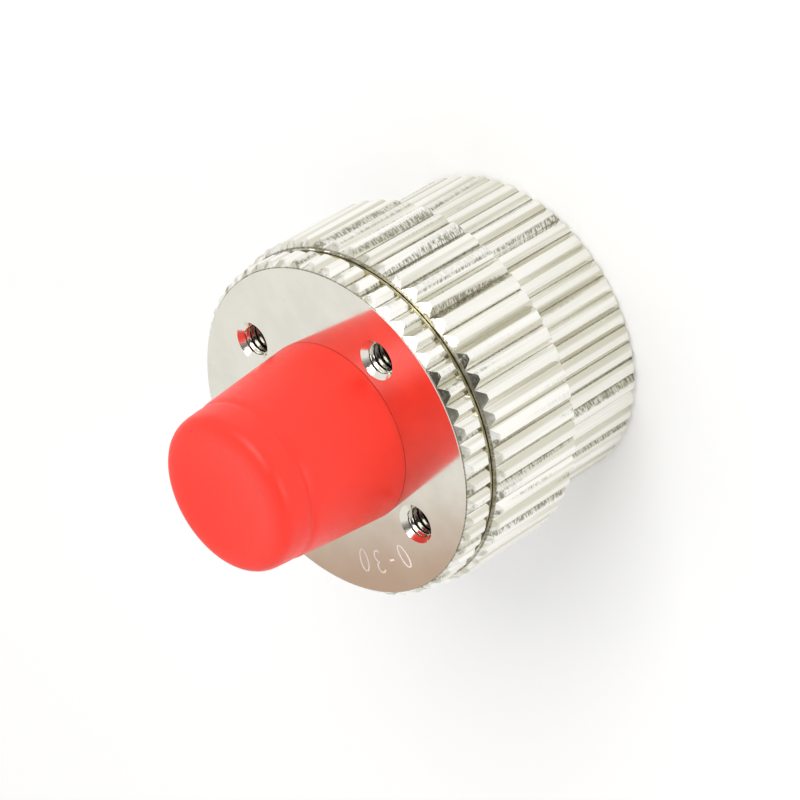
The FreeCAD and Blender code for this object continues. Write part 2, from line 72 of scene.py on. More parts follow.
# Knurling: V cuts with narrow lands between them
TEETH = 56
HALF_TOOTH = math.pi / TEETH
FLANK_ANGLE = math.radians(50)
RING_TIP, RING_DEPTH, RING_CHAMFER = 10.8, 0.4, 0.45
DISC_TIP, DISC_DEPTH, DISC_CHAMFER = 10.4, 0.38, 0.4
REAR_TIP, REAR_DEPTH, REAR_CHAMFER = 9.6, 0.35, 0.3
EDGE_BREAK = 0.2
TOOTH_ROUND = 0.03
ROOT_ROUND = 0.025

# Radii inside the part, which the dressed pieces share with the solids
HUB = 8.3
RING_BORE = 8.35
SPIGOT = 9.2
SPIGOT_BORE = 9.25
SHELL_BORE = 8.6
SKIRT_BORE = 7.0
NECK = 6.9
NECK_BORE = 5.5
PORT_HOLE = 4.05
PORT_POCKET = 5.05

# Guide pins: radius of their circle, of a pin and of its sliding hole, then the depths of both holes
PIN_CIRCLE = 6.2
PIN = 0.35
PIN_HOLE = 0.39
PIN_SEAT_DEPTH = 1.4
PIN_HOLE_DEPTH = 4.2

# Fixing holes in the face: M2 thread with a countersink
HOLE_CIRCLE = 7.1
HOLE_MOUTH = 1.2
HOLE_CREST = 0.84
HOLE_ROOT = 0.98
HOLE_DEPTH = 2.1
HOLE_PITCH = 0.4
COUNTERSINK_SLOPE = 1.15

# Fine threads of the hub, the ring and the ports
FINE_PITCH = 0.75
FINE_DEPTH = 0.4
THREAD_STEPS = 8
THREAD_CREST = 0.12
THREAD_FLANK = 0.7

# Threaded ports: depth of each seat below the tip, radii, key slot, lengths from the seat, then the sleeve
# holder's stepped seat
FRONT_SEAT_DEPTH = 8.4
REAR_SEAT_DEPTH = 5.0
PORT_THREAD = 4.0
PORT_RELIEF = 3.8
PORT_BORE = 2.9
PORT_FLANGE = 5.0
KEY_HALF = 1.05
KEY_DEPTH = 3.5
KEY_EDGE = math.asin(KEY_HALF / PORT_THREAD)
RELIEF_LENGTH = 0.7
FLANGE_LENGTH = 0.8
HOLDER_POCKET, HOLDER_FLOOR = 3.45, 0.2
HOLDER_HOLE, HOLDER_HOLE_END = 2.25, -0.4

# How many columns go round each kind of turned form
WIDE_COLUMNS = 128
HUB_COLUMNS = 96
HOLE_COLUMNS = 64
PIN_COLUMNS = 24
SLOT_COLUMNS = 6
CAP_COLUMNS = 192

# How many rows a knurled wall has from end to end
DISC_ROWS = 6
WALL_ROWS = 12

# Colours
NICKEL_LIGHT = (0.94, 0.93, 0.885)
# NICKEL_DIM is the dim colour of the painted reflection streaks on the knurl, and of the face's pits
NICKEL_DIM = (0.66, 0.64, 0.54)
NICKEL_FACE = (0.87, 0.85, 0.77)
HOLE_SHADE = (0.2, 0.19, 0.16)
TARNISH = (0.25, 0.24, 0.18)
WARM_TONE = (0.49, 0.31, 0.2)
# Painted shade with some grime, for the roots of the knurl
ROOT_SHADE_AND_GRIME = (0.17, 0.15, 0.09)
OLIVE = (0.5, 0.46, 0.3)
DARK_OLIVE = (0.22, 0.2, 0.12)


# Materials


class Surface:
    """A material in the making: its shader, and short ways to add and join nodes."""

    def __init__(self, name, metallic=0.0):
        self.material = bpy.data.materials.new(name)
        self.material.use_nodes = True
        self.nodes = self.material.node_tree.nodes
        self.nodes.clear()
        out = self.nodes.new("ShaderNodeOutputMaterial")
        self.shader = self.nodes.new("ShaderNodeBsdfPrincipled")
        self.plug(out.inputs["Surface"], self.shader.outputs["BSDF"])
        self.paint(Metallic=metallic)

    def plug(self, socket, value):
        """Links a node's output to the socket, or sets the socket to a plain value."""
        if isinstance(value, bpy.types.NodeSocket):
            self.material.node_tree.links.new(value, socket)
        elif socket.type == "RGBA":
            socket.default_value = (*value[:3], 1)
        else:
            socket.default_value = value

    def add(self, kind, **inputs):
        """A node with its inputs set by name, where _ stands for a space."""
        node = self.nodes.new(kind)
        for name, value in inputs.items():
            self.plug(node.inputs[name.replace("_", " ")], value)
        return node

    def operate(self, kind, operation, *values):
        """A node that works an operation on values given in the order of its inputs."""
        node = self.nodes.new(kind)
        node.operation = operation
        for socket, value in zip(node.inputs, values):
            self.plug(socket, value)
        return node

    def paint(self, **inputs):
        """Sets the shader's inputs by name, where _ stands for a space."""
        for name, value in inputs.items():
            self.plug(self.shader.inputs[name.replace("_", " ")], value)

    def bump(self, height, distance):
        """Raises the surface by the height, as far as a distance in millimetres."""
        node = self.add("ShaderNodeBump", Height=height, Distance=distance * MM)
        self.paint(Normal=node.outputs["Normal"])

    def place(self, stretch=(1, 1, 1)):
        """The surface point in millimetres in the piece's own frame, each axis scaled."""
        point = self.add("ShaderNodeTexCoord").outputs["Object"]
        scale = tuple(s / MM for s in stretch)
        return self.add("ShaderNodeMapping", Vector=point, Scale=scale).outputs["Vector"]

    def noise(self, point, scale=1.0, detail=2.0, roughness=0.5):
        node = self.add("ShaderNodeTexNoise", Vector=point, Scale=scale, Detail=detail, Roughness=roughness)
        return node.outputs["Fac"]

    def combine(self, operation, first, second):
        return self.operate("ShaderNodeMath", operation, first, second).outputs[0]

    def times(self, first, second):
        return self.combine("MULTIPLY", first, second)

    def plus(self, first, second):
        return self.combine("ADD", first, second)

    def spread(self, value, low, high, to_low=0.0, to_high=1.0):
        """The value from low to high, mapped smoothly to to_low to to_high."""
        node = self.add("ShaderNodeMapRange", Value=value, From_Min=low, From_Max=high, To_Min=to_low,
                        To_Max=to_high)
        node.interpolation_type = "SMOOTHSTEP"
        return node.outputs["Result"]

    def varied(self, noise, low=0.0, high=1.0):
        """A value that goes from low to high over the usual range of a noise."""
        return self.spread(noise, 0.3, 0.7, low, high)

    def mixed(self, share, first, second):
        """A colour between first and second."""
        node = self.nodes.new("ShaderNodeMix")
        node.data_type = "RGBA"
        colours = [s for s in node.inputs if s.type == "RGBA"]
        for socket, value in zip((node.inputs[0], *colours), (share, first, second)):
            self.plug(socket, value)
        return next(s for s in node.outputs if s.type == "RGBA")

    def along(self, point, direction):
        """How far the surface point lies along a direction."""
        return self.operate("ShaderNodeVectorMath", "DOT_PRODUCT", point, direction).outputs["Value"]

    def from_axis(self, point):
        """The distance of the surface point from the fibre axis."""
        level = self.operate("ShaderNodeVectorMath", "MULTIPLY", point, (1, 1, 0)).outputs["Vector"]
        return self.operate("ShaderNodeVectorMath", "LENGTH", level).outputs["Value"]


def shaded(colour, share):
    return tuple(share * c for c in colour)


def plated(name, depth, tip, extra_painted_shade=0.0):
    """Bright nickel over knurled brass: dim streaks along the teeth as painted reflection, chatter across
    them, and painted shade with some grime in the roots.
    """
    surface = Surface(name, metallic=1.0)
    point = surface.place()
    radius = surface.from_axis(point)
    specks = surface.noise(point, scale=7.0, detail=3.0, roughness=0.6)
    streaks = surface.noise(surface.place((1.9, 1.9, 0.05)))
    worn_place = surface.noise(surface.place((1.3, 1.3, 0.06)), detail=1.0)
    marks = surface.noise(surface.place((3.0, 3.0, 9.0)), detail=3.0, roughness=0.65)

    flank = surface.spread(radius, tip - 0.12, tip - 0.01, to_low=1.0, to_high=0.25)
    # Painted shade with some grime: the roots of the V cuts are darkened by their radius, where shade falls
    in_root = surface.spread(radius, tip - depth + 0.01, tip - 0.85 * depth, to_low=1.0, to_high=0.0)
    root_shade_and_grime = surface.times(in_root, surface.varied(specks, 0.5, 1.0))
    # Painted reflection: random teeth are dimmed along their length, most on the flanks, in place of
    # changing reflections
    painted_dim_reflection = surface.times(flank, surface.spread(streaks, 0.36 - extra_painted_shade, 0.6 - extra_painted_shade))
    # extra_painted_shade widens the dim streaks above and these chatter patches, as painted shade
    worn = surface.spread(worn_place, 0.57 - extra_painted_shade / 2, 0.64 - extra_painted_shade / 2)
    dashes = surface.times(worn, surface.spread(marks, 0.42, 0.58, to_low=0.15, to_high=0.9))
    scored = surface.times(flank, dashes)

    base = surface.mixed(painted_dim_reflection, NICKEL_LIGHT, NICKEL_DIM)
    aged = surface.mixed(scored, base, TARNISH)
    rough = surface.plus(0.13, surface.times(scored, 0.2))
    surface.paint(Base_Color=surface.mixed(root_shade_and_grime, aged, ROOT_SHADE_AND_GRIME),
                  Roughness=surface.plus(rough, surface.times(root_shade_and_grime, 0.3)))
    chatter = surface.times(marks, surface.plus(worn, 0.3))
    surface.bump(surface.plus(chatter, surface.times(specks, 0.15)), distance=0.006)
    return surface


def polished_face():
    """The flat front face: mirror bright with small pits, and a warm brownish tone that grows to one side.
    """
    surface = Surface("nickel_face", metallic=1.0)
    point = surface.place()
    clouds = surface.noise(point, scale=0.5, detail=3.0)
    pits = surface.spread(surface.noise(point, scale=9.0, detail=2.0, roughness=0.7), 0.7, 0.78)
    base = surface.mixed(surface.varied(clouds), NICKEL_FACE, shaded(NICKEL_FACE, 0.94))
    warmth = surface.plus(surface.along(point, (-0.78, 0.62, 0)), surface.times(clouds, 1.5))
    tinted = surface.mixed(surface.spread(warmth, 1.5, 10.5, to_high=0.85), base, WARM_TONE)
    surface.paint(Base_Color=surface.mixed(pits, tinted, shaded(NICKEL_DIM, 0.55)),
                  Roughness=surface.varied(clouds, 0.07, 0.11))
    surface.bump(surface.combine("SUBTRACT", surface.times(clouds, 0.4), pits), distance=0.004)
    return surface


def tapped_wall():
    """The wall of the fixing holes: bright at the countersink, with painted shade that darkens it the
    deeper it goes.
    """
    surface = Surface("nickel_tapped", metallic=1.0)
    point = surface.place()
    dark_depth, bright_depth = 1.0, 0.3
    height = surface.along(point, (0, 0, 1))
    brightness = surface.spread(height, FACE - dark_depth, FACE - bright_depth)
    specks = surface.noise(point, scale=8.0, detail=3.0)
    surface.paint(Base_Color=surface.mixed(brightness, HOLE_SHADE, NICKEL_FACE),
                  Roughness=surface.varied(specks, 0.1, 0.2))
    surface.bump(specks, distance=0.003)
    return surface


def metal(name, colour, roughness=0.25):
    """Plain turned or plated metal with a fine grain and small changes of shine."""
    surface = Surface(name, metallic=1.0)
    point = surface.place()
    specks = surface.noise(point, scale=3.0, detail=4.0, roughness=0.6)
    clouds = surface.varied(surface.noise(point, scale=0.35))
    surface.paint(Base_Color=surface.mixed(clouds, colour, shaded(colour, 0.88)),
                  Roughness=surface.varied(specks, 0.75 * roughness, 1.35 * roughness))
    surface.bump(specks, distance=0.002)
    return surface


def dull_bronze():
    """The olive ring in the groove, blotched from green-brown to nearly black."""
    surface = Surface("dull_bronze", metallic=1.0)
    point = surface.place()
    blotches = surface.noise(point, scale=0.9, detail=3.0, roughness=0.6)
    surface.paint(Base_Color=surface.mixed(surface.spread(blotches, 0.4, 0.62), OLIVE, DARK_OLIVE),
                  Roughness=surface.varied(blotches, 0.35, 0.55))
    surface.bump(surface.noise(point, scale=8.0, detail=3.0), distance=0.008)
    return surface


def moulded(name, colour, roughness, grain=4.0, shade=0.85):
    """Plastic, rubber or ceramic with a faint moulded grain."""
    surface = Surface(name)
    point = surface.place()
    specks = surface.noise(point, scale=grain, detail=3.0, roughness=0.6)
    clouds = surface.varied(surface.noise(point, scale=0.4))
    surface.paint(Base_Color=surface.mixed(clouds, colour, shaded(colour, shade)),
                  Roughness=surface.varied(specks, 0.9 * roughness, 1.1 * roughness))
    surface.bump(specks, distance=0.003)
    return surface


def soft_red():
    """Soft, slightly clear red plastic of the dust cap."""
    surface = moulded("cap_plastic", (0.97, 0.035, 0.018), 0.4, grain=2.5, shade=0.94)
    surface.paint(Specular_IOR_Level=0.4, Subsurface_Weight=0.3, Subsurface_Radius=(1.0, 0.3, 0.2),
                  Subsurface_Scale=0.8 * MM)
    return surface


SURFACES = {
    "ring": plated("nickel_ring", RING_DEPTH, RING_TIP),
    "disc": plated("nickel_disc", DISC_DEPTH, DISC_TIP),
    # The rear gets more dim streaks and chatter marks: painted shade for the darker surroundings it mirrors
    "rear": plated("nickel_rear", REAR_DEPTH, REAR_TIP, extra_painted_shade=0.04),
    "face": polished_face(),
    "tapped": tapped_wall(),
    "figure": moulded("etched_figure", (0.98, 0.93, 0.86), 0.6),
    "port": metal("nickel_port", (0.76, 0.74, 0.68), 0.2),
    "brass": metal("bare_brass", (0.78, 0.57, 0.26)),
    "bronze": dull_bronze(),
    "steel": metal("spring_steel", (0.5, 0.5, 0.51)),
    "ceramic": moulded("sleeve_ceramic", (0.86, 0.85, 0.81), 0.25),
    "slip": moulded("slip_plastic", (0.85, 0.85, 0.84), 0.45),
    "rubber": moulded("seal_rubber", (0.025, 0.025, 0.025), 0.55),
    "cap": soft_red(),
}

NODE_SURFACES = {
    "rear_housing": "rear",
    "adjusting_ring": "ring",
    "front_flange": "disc",
    "rear_port": "port",
    "front_port": "port",
    "rear_sleeve_holder": "brass",
    "front_sleeve_holder": "brass",
    "rear_lock_ring": "brass",
    "front_lock_ring": "brass",
    "alignment_sleeve": "ceramic",
    "slip_washer": "slip",
    "retaining_wire": "steel",
    "drag_ring": "rubber",
    "backlash_spring": "steel",
    "gap_washer": "bronze",
    "stop_ring": "steel",
    "guide_pins": "steel",
    "front_dust_cap": "cap",
}


def paint_frame():
    """Gives each node of the frame its own look."""
    for node, key in NODE_SURFACES.items():
        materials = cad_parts[node].data.materials
        materials.clear()
        materials.append(SURFACES[key].material)


# Meshes: every sheet is (points in millimetres, faces, key of its surface)


def at(angle, radius, height, centre=(0, 0)):
    return (centre[0] + radius * math.cos(angle), centre[1] + radius * math.sin(angle), height)


def circle(radius, height, columns, centre=(0, 0)):
    return [at(math.tau * j / columns, radius, height, centre) for j in range(columns)]


def places_round(count, radius, first):
    """Evenly spaced places on a circle round the axis, the first one at this angle in degrees."""
    return [at(math.radians(first + 360 * i / count), radius, 0)[:2] for i in range(count)]


def woven(rows, key):
    """The sheet between closed rows of points, which all have the same number of points."""
    width = len(rows[0])
    points = [p for row in rows for p in row]
    faces = []
    for i in range(len(rows) - 1):
        a, b = i * width, (i + 1) * width
        faces += [(a + j, a + (j + 1) % width, b + (j + 1) % width, b + j) for j in range(width)]
    return points, faces, key


def net(rows, key):
    """The sheet between open rows of points, which all have the same number of points."""
    width = len(rows[0])
    points = [p for row in rows for p in row]
    faces = [(k, k + 1, k + width + 1, k + width)
             for i in range(len(rows) - 1) for k in range(i * width, (i + 1) * width - 1)]
    return points, faces, key


def standing(sheet):
    """The sheet without the faces that were cut off to no height."""
    points, faces, key = sheet
    kept = [f for f in faces if max(points[k][2] for k in f) - min(points[k][2] for k in f) > 1e-9]
    return points, kept, key


def lathe(section, key, columns=WIDE_COLUMNS, centre=(0, 0)):
    """A turned sheet from (radius, height) corners."""
    return woven([circle(r, z, columns, centre) for r, z in section], key)


def groove(radius, low, high, depth):
    """The corners of a square groove, cut in from the radius, or outward where the depth is below zero."""
    return [(radius, low), (radius - depth, low), (radius - depth, high), (radius, high)]


def plate(loops, key):
    """A flat sheet between an outer loop of points and the loops inside it."""
    flat = bmesh.new()
    edges = []
    for loop in loops:
        corners = [flat.verts.new(p) for p in loop]
        edges += [flat.edges.new((corners[i - 1], corners[i])) for i in range(len(corners))]
    bmesh.ops.triangle_fill(flat, use_beauty=True, edges=edges, normal=(0, 0, 1))
    flat.verts.index_update()
    points = [tuple(v.co) for v in flat.verts]
    faces = [tuple(v.index for v in f.verts) for f in flat.faces]
    flat.free()
    return points, faces, key


def make_piece(name, sheets, body, replaced, sharp=32):
    """Joins the sheets in one mesh that rides on a body and stands for a node of the frame.

    The face stays flat-shaded, so that what it mirrors is true up to its edge."""
    keys = sorted({key for _, _, key in sheets})
    mesh = bpy.data.meshes.new(name)
    for key in keys:
        mesh.materials.append(SURFACES[key].material)
    joined = bmesh.new()
    for points, faces, key in sheets:
        corners = [joined.verts.new([c * MM for c in p]) for p in points]
        for face in faces:
            made = joined.faces.new([corners[i] for i in face])
            made.material_index = keys.index(key)
            made.smooth = True
    bmesh.ops.remove_doubles(joined, verts=joined.verts, dist=1e-7)
    bmesh.ops.dissolve_degenerate(joined, dist=1e-8, edges=joined.edges)
    bmesh.ops.recalc_face_normals(joined, faces=joined.faces)
    joined.to_mesh(mesh)
    joined.free()
    mesh.set_sharp_from_angle(angle=math.radians(sharp))
    for polygon in mesh.polygons:
        if keys[polygon.material_index] == "face":
            polygon.use_smooth = False
    piece = bpy.data.objects.new(name, mesh)
    bpy.context.scene.collection.objects.link(piece)
    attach(piece, body)
    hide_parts(replaced)


def middle_height(node):
    low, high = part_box(node)
    return (low.z + high.z) / 2 / MM


# Knurling


def tooth_half(root, tip, slope):
    """(angle, radius) from a V cut's floor to the middle of the land beside it, by the flank's slope."""
    centre = root + ROOT_ROUND / math.sin(slope)
    foot = [(ROOT_ROUND * math.sin(a), centre - ROOT_ROUND * math.cos(a))
            for a in (0, (math.pi / 2 - slope) / 2, math.pi / 2 - slope)]
    reach = math.sqrt(tip ** 2 - (root * math.sin(slope)) ** 2) - root * math.cos(slope)
    corner = (reach * math.sin(slope), root + reach * math.cos(slope))
    low = (corner[0] - TOOTH_ROUND * math.sin(slope), corner[1] - TOOTH_ROUND * math.cos(slope))
    high_angle = math.atan2(*corner) + TOOTH_ROUND / tip
    high = (tip * math.sin(high_angle), tip * math.cos(high_angle))
    crown = tuple((a + 2 * b + c) / 4 for a, b, c in zip(low, corner, high))
    middle = tuple((a + b) / 2 for a, b in zip(foot[-1], low))
    polar = [(math.atan2(x, y), math.hypot(x, y)) for x, y in (*foot, middle, low, crown, high)]
    return polar + [((polar[-1][0] + HALF_TOOTH) / 2, tip), (HALF_TOOTH, tip)]


def knurl_outline(tip, depth, turned=0.0):
    """(angle, radius) all round: V cuts, each a little deeper, shallower or more askew than the next."""
    outline = []
    for tooth in range(TEETH):
        root = tip - depth * random.uniform(0.93, 1.03)
        before, after = (tooth_half(root, tip, FLANK_ANGLE + random.uniform(-0.04, 0.03)) for _ in range(2))
        middle = turned + tooth * 2 * HALF_TOOTH
        outline += [(middle - a, r) for a, r in reversed(before[1:])]
        outline += [(middle + a, r) for a, r in after[:-1]]
    return outline


def knurled_wall(outline, tip, low, high, low_break, high_break, rows, key):
    """The knurled outside between two end faces, with a 45 degree break at each end."""
    bottoms = [low + max(0.0, r - (tip - low_break)) for _, r in outline]
    tops = [high - max(0.0, r - (tip - high_break)) for _, r in outline]
    rings = [[at(a, min(r, tip - low_break), low) for a, r in outline]]
    for i in range(rows + 1):
        share = i / rows
        rings.append([at(a, r, b + (t - b) * share) for (a, r), b, t in zip(outline, bottoms, tops)])
    rings.append([at(a, min(r, tip - high_break), high) for a, r in outline])
    return woven(rings, key)


def flat_ring(outline, outer, inner, height):
    """A flat end face from the knurled outline, no wider than outer, in to a round edge."""
    rows = [[at(a, min(r, outer), height) for a, r in outline], [at(a, inner, height) for a, _ in outline]]
    return woven(rows, "port")


# Threads


def thread_wave(turns):
    """How deep a V thread is cut, from 0 at its crest to 1 at its root, by the turns from a root."""
    wave = abs(2 * (turns % 1.0) - 1)
    return min(1.0, max(0.0, (wave - THREAD_CREST) / THREAD_FLANK))


def thread_sheet(crest, root, low, high, pitch, key, columns=WIDE_COLUMNS, centre=(0, 0),
                 least=lambda height: 0.0):
    """A right-handed thread whose rows follow the helix, cut off flat at both ends.

    least gives the smallest radius that is left at a height, as in a countersink."""
    rise = pitch / THREAD_STEPS
    rows = []
    for i in range(-THREAD_STEPS, int((high - low) / rise) + 2):
        radius = crest + (root - crest) * thread_wave(i / THREAD_STEPS)
        heights = [min(high, max(low, low + i * rise + pitch * j / columns)) for j in range(columns + 1)]
        rows.append([at(math.tau * j / columns, max(radius, least(z)), z, centre)
                     for j, z in enumerate(heights)])
    return standing(net(rows, key))


# Front flange

HOLE_PLACES = places_round(4, HOLE_CIRCLE, 0)
PIN_PLACES = places_round(3, PIN_CIRCLE, 45)


def countersink(height):
    return HOLE_MOUTH - COUNTERSINK_SLOPE * (FACE - height)


def screw_hole(middle):
    """The wall of a tapped hole, widened by its countersink, and its floor."""
    floor = FACE - HOLE_DEPTH
    wall = thread_sheet(HOLE_CREST, HOLE_ROOT, floor, FACE, HOLE_PITCH, "tapped", HOLE_COLUMNS, middle,
                        countersink)
    return [wall, lathe([(HOLE_ROOT, floor), (0, floor)], "tapped", HOLE_COLUMNS, middle)]


def pin_hole(middle, radius, mouth, end):
    return lathe([(radius, mouth), (radius, end), (0, end)], "port", PIN_COLUMNS, middle)


def arc(centre, radii, first, step, count):
    """Points along part of an ellipse."""
    angles = [first + step * k for k in range(count)]
    return [(centre[0] + radii[0] * math.cos(a), centre[1] + radii[1] * math.sin(a)) for a in angles]


# Plain figures for the scale on the face: strokes in a box 0.6 wide and 1.4 high, round its middle
FIGURE_MIDDLE = (0.3, 0.7)
FIGURE_RADIUS = 8.06
FIGURE_WIDTH = 0.12
FIGURE_LIFT = 0.004
FIGURES = "0-30"
FIGURE_DEGREES = (160.3, 152, 144.2, 135)
STROKES = {
    "0": [arc(FIGURE_MIDDLE, FIGURE_MIDDLE, 0, math.tau / 20, 21)],
    "3": [arc((0.3, 1.06), (0.27, 0.33), 2.6, -0.42, 10), arc((0.3, 0.38), (0.3, 0.36), 1.5, -0.42, 10)],
    "-": [[(0.1, 0.7), (0.5, 0.7)]],
}


def figure_place(x, y, turned):
    """A point of a figure laid on the face, its top outward and its middle at the turned angle."""
    radius = FIGURE_RADIUS + y - FIGURE_MIDDLE[1]
    return at(turned - (x - FIGURE_MIDDLE[0]) / FIGURE_RADIUS, radius, FACE + FIGURE_LIFT)


def figure_strokes():
    """Thin etched strokes for the figures, each at its angle round the face."""
    points, faces = [], []
    for sign, degrees in zip(FIGURES, FIGURE_DEGREES):
        for line in STROKES[sign]:
            for (ax, ay), (bx, by) in zip(line, line[1:]):
                length = math.hypot(bx - ax, by - ay)
                sx, sy = (ay - by) / length * FIGURE_WIDTH / 2, (bx - ax) / length * FIGURE_WIDTH / 2
                corners = ((ax - sx, ay - sy), (bx - sx, by - sy), (bx + sx, by + sy), (ax + sx, ay + sy))
                first = len(points)
                points += [figure_place(x, y, math.radians(degrees)) for x, y in corners]
                faces.append((first, first + 1, first + 2, first + 3))
    return points, faces, "figure"


def dress_flange():
    """The disc with its knurl, face, tapped holes and figures, and the threaded hub behind it."""
    rim_drop, rim_width = 0.02, 0.05
    pocket_floor = FACE - 1.4
    stop_low, stop_width, stop_depth = HUB_FOOT + 0.3, 0.375, 0.3
    stop_high = stop_low + stop_width
    outline = knurl_outline(DISC_TIP, DISC_DEPTH, HALF_TOOTH)
    rim = DISC_TIP - DISC_CHAMFER
    soft_edge = [[at(a, r, z) for a, _ in outline]
                 for r, z in ((rim, FACE - rim_drop), (rim - rim_width, FACE))]
    outside = [(SKIRT_BORE, PLUG), (SKIRT_BORE, HUB_FOOT), (HUB, HUB_FOOT),
               *groove(HUB, stop_low, stop_high, stop_depth)]
    pocket = [(PORT_HOLE, FACE), (PORT_HOLE, pocket_floor),
              (PORT_POCKET, pocket_floor), (PORT_POCKET, PLUG)]
    face_holes = [circle(HOLE_MOUTH, FACE, HOLE_COLUMNS, m) for m in HOLE_PLACES]
    pin_mouths = [circle(PIN, PLUG, PIN_COLUMNS, m) for m in PIN_PLACES]
    sheets = [
        knurled_wall(outline, DISC_TIP, DISC_LOW, FACE - rim_drop, EDGE_BREAK, DISC_CHAMFER, DISC_ROWS,
                     "disc"),
        woven(soft_edge, "face"),
        flat_ring(outline, DISC_TIP - EDGE_BREAK, HUB, DISC_LOW),
        plate([soft_edge[1], circle(PORT_HOLE, FACE, HUB_COLUMNS), *face_holes], "face"),
        plate([circle(r, PLUG, HUB_COLUMNS) for r in (SKIRT_BORE, PORT_POCKET)] + pin_mouths, "port"),
        lathe(outside, "port", HUB_COLUMNS),
        lathe(pocket, "port", HUB_COLUMNS),
        thread_sheet(HUB, HUB - FINE_DEPTH, stop_high, DISC_LOW, FINE_PITCH, "port"),
        figure_strokes(),
    ]
    for middle in HOLE_PLACES:
        sheets += screw_hole(middle)
    for middle in PIN_PLACES:
        sheets.append(pin_hole(middle, PIN, PLUG, PLUG + PIN_SEAT_DEPTH))
    make_piece("front_flange_dressed", sheets, "front_body", "front_flange")


# Adjusting ring and rear housing


def dress_ring():
    """The wide knurled ring, with the retaining wire's groove in its counterbore and its inner thread."""
    wire, wire_half, wire_depth = middle_height("retaining_wire"), 0.3, 0.3
    outline = knurl_outline(RING_TIP, RING_DEPTH, HALF_TOOTH)
    thread_end = RING_TOP - EDGE_BREAK
    counterbore = [(SPIGOT_BORE, RING_LOW),
                   *groove(SPIGOT_BORE, wire - wire_half, wire + wire_half, -wire_depth),
                   (SPIGOT_BORE, THREAD_LOW), (RING_BORE, THREAD_LOW)]
    sheets = [
        knurled_wall(outline, RING_TIP, RING_LOW, RING_TOP, EDGE_BREAK, RING_CHAMFER, WALL_ROWS,
                     "ring"),
        flat_ring(outline, RING_TIP - EDGE_BREAK, SPIGOT_BORE, RING_LOW),
        flat_ring(outline, RING_TIP - RING_CHAMFER, RING_BORE + EDGE_BREAK, RING_TOP),
        lathe(counterbore, "port"),
        lathe([(RING_BORE, thread_end), (RING_BORE + EDGE_BREAK, RING_TOP)], "port"),
        thread_sheet(RING_BORE, RING_BORE + FINE_DEPTH, THREAD_LOW, thread_end, FINE_PITCH, "port"),
    ]
    make_piece("adjusting_ring_dressed", sheets, "ring", "adjusting_ring")


def dress_rear():
    """The narrower knurled cylinder, the spigot for the ring, and the neck with the port's seat."""
    mouth, mouth_depth, mouth_break = 7.0, 1.45, 0.12
    web_top = 2.65
    pocket_floor, hole_end = NECK_TOP - 1.3, NECK_TOP - 1.8
    spigot_top = THREAD_LOW - 0.2
    seal, seal_half, seal_depth = middle_height("drag_ring"), 0.2, 0.32
    wire, wire_half, wire_depth = middle_height("retaining_wire"), 0.25, 0.25
    outline = knurl_outline(REAR_TIP, REAR_DEPTH)
    spigot = [(SPIGOT, REAR_TOP), *groove(SPIGOT, seal - seal_half, seal + seal_half, seal_depth),
              *groove(SPIGOT, wire - wire_half, wire + wire_half, wire_depth), (SPIGOT, spigot_top),
              (SHELL_BORE, spigot_top), (SHELL_BORE, web_top), (NECK, web_top), (NECK, NECK_TOP)]
    recess = [(PORT_POCKET, NECK_TOP), (PORT_POCKET, pocket_floor), (PORT_HOLE, pocket_floor),
              (PORT_HOLE, hole_end), (NECK_BORE, hole_end), (NECK_BORE, mouth_depth + EDGE_BREAK),
              (NECK_BORE + EDGE_BREAK, mouth_depth), (mouth, mouth_depth), (mouth, mouth_break),
              (mouth + mouth_break, 0)]
    pin_mouths = [circle(PIN_HOLE, NECK_TOP, PIN_COLUMNS, m) for m in PIN_PLACES]
    sheets = [
        knurled_wall(outline, REAR_TIP, 0, REAR_TOP, REAR_CHAMFER, EDGE_BREAK, WALL_ROWS, "rear"),
        flat_ring(outline, REAR_TIP - REAR_CHAMFER, mouth + mouth_break, 0),
        flat_ring(outline, REAR_TIP - EDGE_BREAK, SPIGOT, REAR_TOP),
        lathe(spigot, "port"),
        lathe(recess, "port"),
        plate([circle(r, NECK_TOP, WIDE_COLUMNS) for r in (NECK, PORT_POCKET)] + pin_mouths, "port"),
    ]
    for middle in PIN_PLACES:
        sheets.append(pin_hole(middle, PIN_HOLE, NECK_TOP, NECK_TOP - PIN_HOLE_DEPTH))
    make_piece("rear_housing_dressed", sheets, "rear_body", "rear_housing")


# Fibre ports

# Angles round a port from one side of its key slot to the other, then on across the slot
PORT_ARC = [KEY_EDGE + (math.tau - 2 * KEY_EDGE) * j / HUB_COLUMNS for j in range(HUB_COLUMNS + 1)]
SLOT_ARC = [math.tau - KEY_EDGE + 2 * KEY_EDGE * j / SLOT_COLUMNS for j in range(SLOT_COLUMNS + 1)]


def slotted(angle, radius, height):
    """A point at this angle, moved to the slot's flat side if it lies on the slot's edge."""
    turned = (angle + math.pi) % math.tau - math.pi
    if abs(turned) > KEY_EDGE + 1e-6:
        return at(angle, radius, height)
    side = KEY_HALF * turned / KEY_EDGE
    return (math.sqrt(radius ** 2 - side ** 2), side, height)


def port_outside(angle, height, tip):
    """A point of a port's thread, which starts at the tip with a 45 degree chamfer."""
    turns = (height - tip) / FINE_PITCH - angle / math.tau
    cut = PORT_THREAD - FINE_DEPTH * thread_wave(turns)
    chamfer = PORT_THREAD - FINE_DEPTH + abs(height - tip)
    return slotted(angle, min(cut, chamfer), height)


def across(places, tip):
    """A strip from a port's thread to its bore at each (angle, height)."""
    thread = [port_outside(a, z, tip) for a, z in places]
    return net([thread, [slotted(a, PORT_BORE, z) for a, z in places]], "port")


